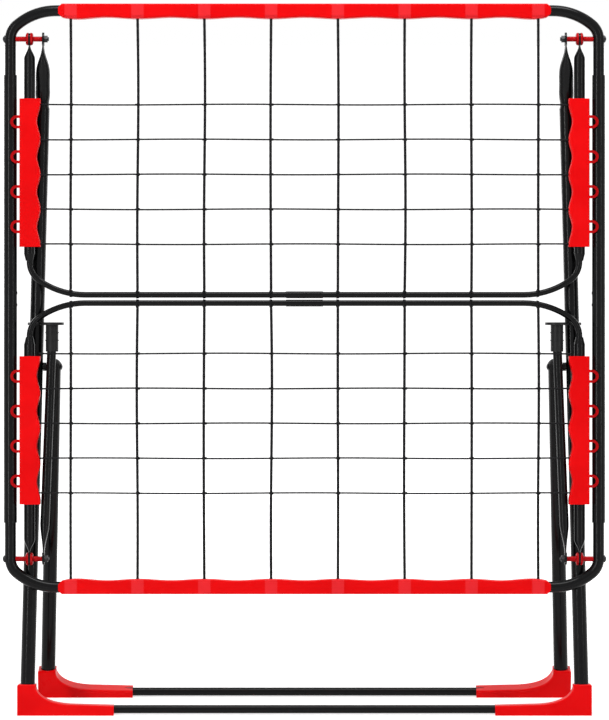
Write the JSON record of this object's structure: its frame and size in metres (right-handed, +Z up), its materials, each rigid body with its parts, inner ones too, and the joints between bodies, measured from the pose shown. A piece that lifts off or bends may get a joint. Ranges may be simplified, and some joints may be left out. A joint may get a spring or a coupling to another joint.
{
  "type": "folding ball rebounder",
  "caption": "Folding two-panel ball rebounder: a steel tube ring with two tilting cord nets, standing on a tall front leg and a hinged rear leg.",
  "frame": {"origin": "centre of the footprint's box, on the ground under the standing rebounder", "axes": "+Z up, +Y away from the player towards the rear leg, +X to the right across the nets"},
  "size_m": [0.9178, 0.172, 1.0785],
  "materials": {
    "black_tube": "gloss",
    "red_plastic": "gloss",
    "black_plastic": "satin",
    "black_cord": "matte",
    "dark_fastener": "satin"
  },
  "bodies": {
    "frame": {"top_bow": "black_tube", "bottom_bow": "black_tube", "top_rail_cover": "red_plastic", "bottom_rail_cover": "red_plastic", "side_joint_sleeves": "black_tube", "side_joint_rivets": "dark_fastener", "front_crossbar": "black_tube", "pivot_bolts": "dark_fastener", "pivot_nuts": "dark_fastener", "upper_pivot_spacers": "red_plastic", "lower_pivot_spacers": "red_plastic", "top_cord_tails": "black_cord", "bottom_cord_tails": "black_cord", "rear_hinge_pins": "dark_fastener", "rear_hinge_washers": "black_plastic", "left_upper_side_tube": "black_tube", "right_upper_side_tube": "black_tube", "left_lower_side_tube": "black_tube", "right_lower_side_tube": "black_tube", "left_front_leg_tube": "black_tube", "right_front_leg_tube": "black_tube", "left_front_boot": "red_plastic", "right_front_boot": "red_plastic", "left_stay": "black_tube", "right_stay": "black_tube", "left_stay_cap": "black_plastic", "right_stay_cap": "black_plastic"},
    "upper_panel": {"left_upper_panel_arm": "black_tube", "right_upper_panel_arm": "black_tube", "left_upper_side_cover": "red_plastic", "right_upper_side_cover": "red_plastic", "upper_panel_rod": "black_tube", "upper_rod_sleeve": "black_tube", "upper_pivot_hubs": "red_plastic", "upper_net": "black_cord"},
    "lower_panel": {"left_lower_panel_arm": "black_tube", "right_lower_panel_arm": "black_tube", "left_lower_side_cover": "red_plastic", "right_lower_side_cover": "red_plastic", "lower_panel_rod": "black_tube", "lower_rod_sleeve": "black_tube", "lower_pivot_hubs": "red_plastic", "lower_net": "black_cord"},
    "rear_leg": {"left_rear_leg_tube": "black_tube", "right_rear_leg_tube": "black_tube", "left_rear_leg_plug": "black_plastic", "right_rear_leg_plug": "black_plastic", "left_rear_boot": "red_plastic", "right_rear_boot": "red_plastic", "rear_crossbar": "black_tube"}
  },
  "joints": [
    {"name": "upper_panel_tilt", "type": "hinge", "parent": "frame", "child": "upper_panel", "pos_m": [0, 0.01302, 1.02467], "axis": [-1, 0, 0], "range_deg": [0, 25]},
    {"name": "lower_panel_tilt", "type": "hinge", "parent": "frame", "child": "lower_panel", "pos_m": [0, -0.06956, 0.239], "axis": [1, 0, 0], "range_deg": [0, 25]},
    {"name": "rear_leg_spread", "type": "hinge", "parent": "frame", "child": "rear_leg", "pos_m": [0, -0.01716, 0.5271], "axis": [1, 0, 0], "range_deg": [-12, 0]}
  ]
}
